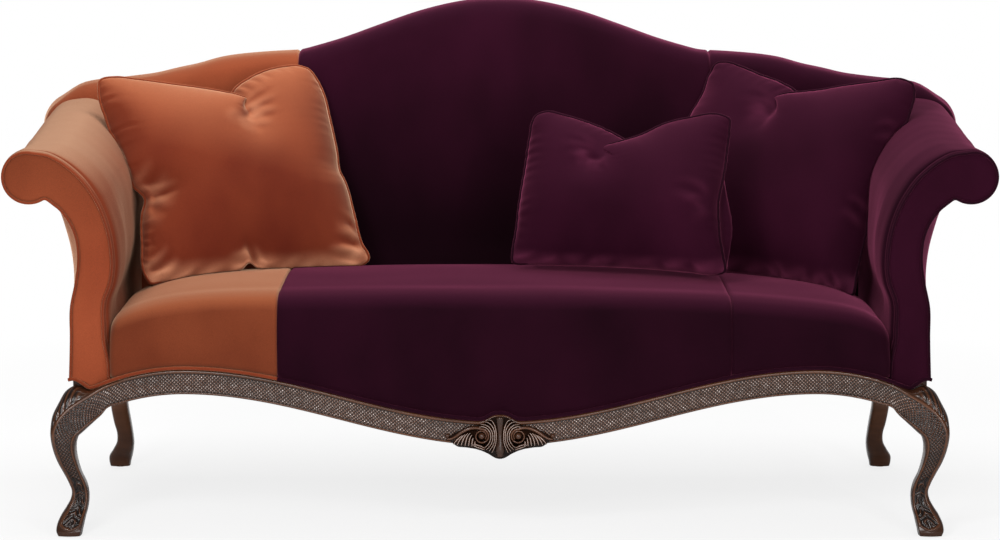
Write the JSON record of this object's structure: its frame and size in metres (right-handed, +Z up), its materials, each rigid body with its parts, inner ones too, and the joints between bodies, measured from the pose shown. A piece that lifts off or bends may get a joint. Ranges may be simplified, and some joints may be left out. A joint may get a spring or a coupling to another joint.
{
  "type": "settee",
  "caption": "Camelback settee with rolled arms, split orange and purple velvet, carved serpentine apron, cabriole legs and loose welted cushions.",
  "frame": {"origin": "middle of the footprint's bounding box, on the floor", "axes": "+X along the settee's length, to the right for someone facing it; +Y from the front edge of the seat towards the back; +Z up"},
  "size_m": [1.978, 0.9084, 1.027],
  "materials": {
    "orange_velvet": "velvet pile, rust orange with a pale sheen",
    "purple_velvet": "velvet pile, dark aubergine",
    "carved_wood": "dark walnut, carved and polished",
    "frame_wood": "bare sawn beech",
    "foam": "matt padding",
    "webbing": "plain woven jute",
    "dust_cloth": "black lining cloth",
    "felt": "pressed felt"
  },
  "bodies": {
    "frame": {"apron": "carved_wood", "apron_ornament": "carved_wood", "arm_cover_left": "orange_velvet", "arm_cover_right": "purple_velvet", "arm_facing_left": "orange_velvet", "arm_facing_right": "purple_velvet", "arm_lower_rail_left": "frame_wood", "arm_lower_rail_right": "frame_wood", "arm_pad_left": "foam", "arm_pad_right": "foam", "arm_stump_left": "frame_wood", "arm_stump_right": "frame_wood", "arm_top_rail_left": "frame_wood", "arm_top_rail_right": "frame_wood", "arm_welt_left": "orange_velvet", "arm_welt_right": "purple_velvet", "back_cover_left": "orange_velvet", "back_cover_middle": "purple_velvet", "back_cover_right": "purple_velvet", "back_foam": "foam", "back_lower_rail": "frame_wood", "back_post_left": "frame_wood", "back_post_right": "frame_wood", "back_stile_left": "frame_wood", "back_stile_right": "frame_wood", "back_top_rail": "frame_wood", "back_webbing": "webbing", "cross_brace_left": "frame_wood", "cross_brace_right": "frame_wood", "dust_cover": "dust_cloth", "front_corner_brace_left": "frame_wood", "front_corner_brace_right": "frame_wood", "front_glide_left": "felt", "front_glide_right": "felt", "front_leg_left": "carved_wood", "front_leg_right": "carved_wood", "front_seat_rail": "frame_wood", "outside_arm_left": "orange_velvet", "outside_arm_right": "purple_velvet", "outside_back": "purple_velvet", "rear_corner_brace_left": "frame_wood", "rear_corner_brace_right": "frame_wood", "rear_glide_left": "felt", "rear_glide_right": "felt", "rear_leg_left": "carved_wood", "rear_leg_right": "carved_wood", "rear_seat_rail": "frame_wood", "seat_cover_left": "orange_velvet", "seat_cover_middle": "purple_velvet", "seat_cover_right": "purple_velvet", "seat_foam": "foam", "seat_webbing": "webbing", "seat_welt_orange": "orange_velvet", "seat_welt_purple": "purple_velvet", "side_seat_rail_left": "frame_wood", "side_seat_rail_right": "frame_wood"},
    "pillow_orange": {"pillow_orange": "orange_velvet"},
    "pillow_purple_large": {"pillow_purple_large": "purple_velvet"},
    "pillow_purple_small": {"pillow_purple_small": "purple_velvet"}
  },
  "joints": [
    {"name": "pillow_orange_lift", "type": "slide", "parent": "frame", "child": "pillow_orange", "axis": [0, 0, 1], "range_m": [0, 0.4]},
    {"name": "pillow_large_lift", "type": "slide", "parent": "frame", "child": "pillow_purple_large", "axis": [0, 0, 1], "range_m": [0, 0.4]},
    {"name": "pillow_small_lift", "type": "slide", "parent": "pillow_purple_large", "child": "pillow_purple_small", "axis": [0, -0.6392, 0.769], "range_m": [0, 0.35]}
  ]
}
